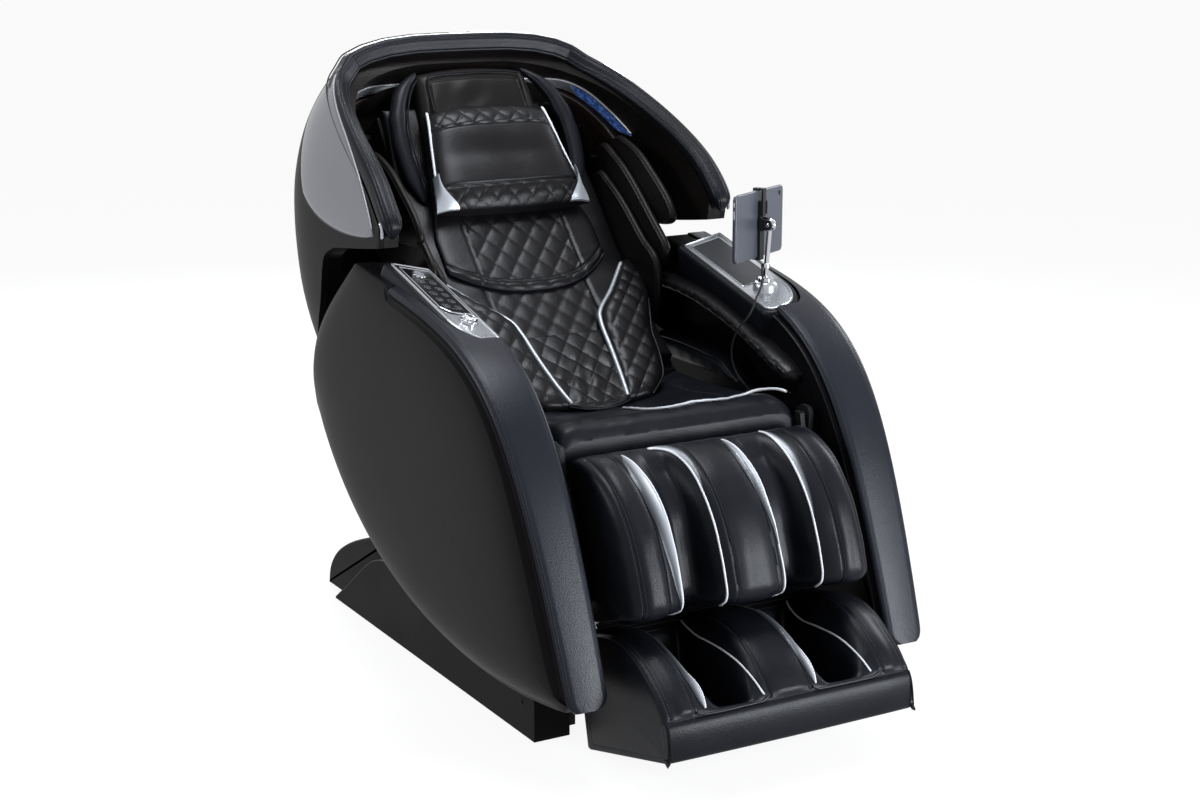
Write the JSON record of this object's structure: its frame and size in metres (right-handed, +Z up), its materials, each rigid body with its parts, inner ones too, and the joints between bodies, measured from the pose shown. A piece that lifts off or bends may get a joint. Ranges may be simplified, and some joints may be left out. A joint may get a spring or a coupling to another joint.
{
  "type": "massage chair",
  "caption": "Reclining full-body massage chair with deep side pods, hooded back rest, leg and foot rest, and a tablet on the left arm.",
  "frame": {"origin": "on the floor, under the middle of the whole chair", "axes": "+Z up, the sitter faces -Y, the chair's own right-hand side is -X"},
  "size_m": [0.836, 1.4335, 1.224],
  "materials": {
    "powder_coated_steel": "dark satin powder coat",
    "satin_black_shell": "moulded shell, satin black",
    "black_plastic": "matt black",
    "rubber": "matt dark grey",
    "black_leather": "soft grain, half gloss",
    "quilted_leather": "perforated and quilted, half matt",
    "silver_trim": "silver paint under clear coat",
    "chrome": "polished",
    "gloss_black": "piano black",
    "gloss_grey": "dark grey metallic under clear coat",
    "blue_light": "translucent blue lens",
    "tablet_shell": "dark grey case, glass front"
  },
  "bodies": {
    "base": {"base_frame": "powder_coated_steel", "base_cover_left": "satin_black_shell", "base_cover_right": "satin_black_shell", "rear_cover": "satin_black_shell", "power_inlet": "black_plastic", "control_box": "black_plastic"},
    "wheels": {"transport_wheels": "rubber"},
    "carriage": {"slide_carriage": "powder_coated_steel"},
    "seat": {"seat_frame": "powder_coated_steel", "seat_cushion": "black_leather", "air_pump": "black_plastic", "side_band_left": "black_leather", "side_band_right": "black_leather", "side_shell_left": "satin_black_shell", "side_shell_right": "satin_black_shell", "arm_body_left": "black_leather", "arm_body_right": "black_leather", "arm_trim_left": "silver_trim", "arm_trim_right": "silver_trim", "keypad_glass": "gloss_black", "charging_pad": "rubber", "arm_pad_left": "quilted_leather", "arm_pad_right": "quilted_leather", "arm_airbag_left": "black_leather", "arm_airbag_right": "black_leather", "recline_actuator": "powder_coated_steel", "tablet_cable": "rubber"},
    "button": {"power_button": "silver_trim"},
    "knob": {"control_knob": "chrome"},
    "stem": {"tablet_stem": "chrome"},
    "tablet_head": {"tablet_clamp": "black_plastic", "tablet": "tablet_shell"},
    "jaw": {"clamp_jaw": "black_plastic"},
    "recline_rod": {"recline_rod": "chrome"},
    "back": {"back_frame": "powder_coated_steel", "back_pad": "quilted_leather", "upper_flap": "quilted_leather", "head_pad": "black_leather", "hood_shell": "satin_black_shell", "hood_inlay_left": "gloss_grey", "hood_inlay_right": "gloss_grey", "hood_rim": "black_leather", "hood_liner": "black_leather", "speaker_pod_left": "gloss_black", "speaker_pod_right": "gloss_black", "light_strip_left": "blue_light", "light_strip_right": "blue_light", "shoulder_pad_left": "black_leather", "shoulder_pad_right": "black_leather"},
    "pillow": {"head_pillow": "black_leather"},
    "massage_unit": {"massage_carriage": "powder_coated_steel"},
    "kneader": {"knead_shaft": "powder_coated_steel"},
    "roller_upper_left": {"roller_upper_left": "rubber"},
    "roller_upper_right": {"roller_upper_right": "rubber"},
    "roller_lower_left": {"roller_lower_left": "rubber"},
    "roller_lower_right": {"roller_lower_right": "rubber"},
    "leg_rest": {"calf_frame": "powder_coated_steel", "calf_pads": "black_leather"},
    "foot_rest": {"foot_housing": "black_leather", "foot_pads": "black_leather"}
  },
  "joints": [
    {"name": "seat_slide", "type": "slide", "parent": "base", "child": "carriage", "axis": [0, -1, 0], "range_m": [0, 0.12]},
    {"name": "seat_tilt", "type": "hinge", "parent": "carriage", "child": "seat", "pos_m": [0, 0.19, 0.19], "axis": [-1, 0, 0], "range_deg": [0, 10]},
    {"name": "back_recline", "type": "hinge", "parent": "seat", "child": "back", "pos_m": [0, 0.138, 0.466], "axis": [-1, 0, 0], "range_deg": [0, 40]},
    {"name": "recline_rod_slide", "type": "slide", "parent": "seat", "child": "recline_rod", "axis": [0, -1, 0], "range_m": [0, 0.0856]},
    {"name": "leg_rest_lift", "type": "hinge", "parent": "seat", "child": "leg_rest", "pos_m": [0, -0.345, 0.545], "axis": [-1, 0, 0], "range_deg": [0, 80]},
    {"name": "foot_rest_slide", "type": "slide", "parent": "leg_rest", "child": "foot_rest", "axis": [0, -0.2538, -0.9673], "range_m": [0, 0.15]},
    {"name": "massage_travel", "type": "hinge", "parent": "back", "child": "massage_unit", "pos_m": [0, -0.738, 1.776], "axis": [1, 0, 0], "range_deg": [-1.5, 16]},
    {"name": "knead_rock", "type": "hinge", "parent": "massage_unit", "child": "kneader", "pos_m": [0, 0.22181, 0.62849], "axis": [1, 0, 0], "range_deg": [-6, 6]},
    {"name": "power_press", "type": "slide", "parent": "seat", "child": "button", "axis": [-0.2419, 0.2511, -0.9372], "range_m": [0, 0.001], "stiffness_N_per_m": 500},
    {"name": "knob_turn", "type": "hinge", "parent": "seat", "child": "knob", "pos_m": [-0.332, -0.12943, 0.74732], "axis": [0.2419, -0.2511, 0.9372], "range_deg": [-135, 135]},
    {"name": "stem_swivel", "type": "hinge", "parent": "seat", "child": "stem", "pos_m": [0.332, -0.118, 0.78], "axis": [0, 0, 1], "range_deg": [-45, 45]},
    {"name": "tablet_tilt", "type": "hinge", "parent": "stem", "child": "tablet_head", "pos_m": [0.332, -0.131, 0.878], "axis": [0.8712, 0.4909, 0], "range_deg": [0, 25]},
    {"name": "jaw_slide", "type": "slide", "parent": "tablet_head", "child": "jaw", "axis": [0, 0, 1], "range_m": [0, 0.02]},
    {"name": "pillow_flip", "type": "hinge", "parent": "back", "child": "pillow", "pos_m": [0, 0.43461, 1.0484], "axis": [-1, 0, 0], "range_deg": [0, 60]},
    {"name": "wheel_spin", "type": "hinge", "parent": "base", "child": "wheels", "pos_m": [0, 0.606, 0.031], "axis": [1, 0, 0], "continuous": true},
    {"name": "roller_spin_upper_left", "type": "hinge", "parent": "kneader", "child": "roller_upper_left", "pos_m": [0, 0.25023, 0.6689], "axis": [1, 0, 0], "continuous": true},
    {"name": "roller_spin_upper_right", "type": "hinge", "parent": "kneader", "child": "roller_upper_right", "pos_m": [0, 0.25023, 0.6689], "axis": [1, 0, 0], "continuous": true},
    {"name": "roller_spin_lower_left", "type": "hinge", "parent": "kneader", "child": "roller_lower_left", "pos_m": [0, 0.17701, 0.60766], "axis": [1, 0, 0], "continuous": true},
    {"name": "roller_spin_lower_right", "type": "hinge", "parent": "kneader", "child": "roller_lower_right", "pos_m": [0, 0.17701, 0.60766], "axis": [1, 0, 0], "continuous": true}
  ],
  "couplings": [
    {"joint": "recline_rod_slide", "follows": "back_recline", "m_per_rad": 0.1225}
  ]
}
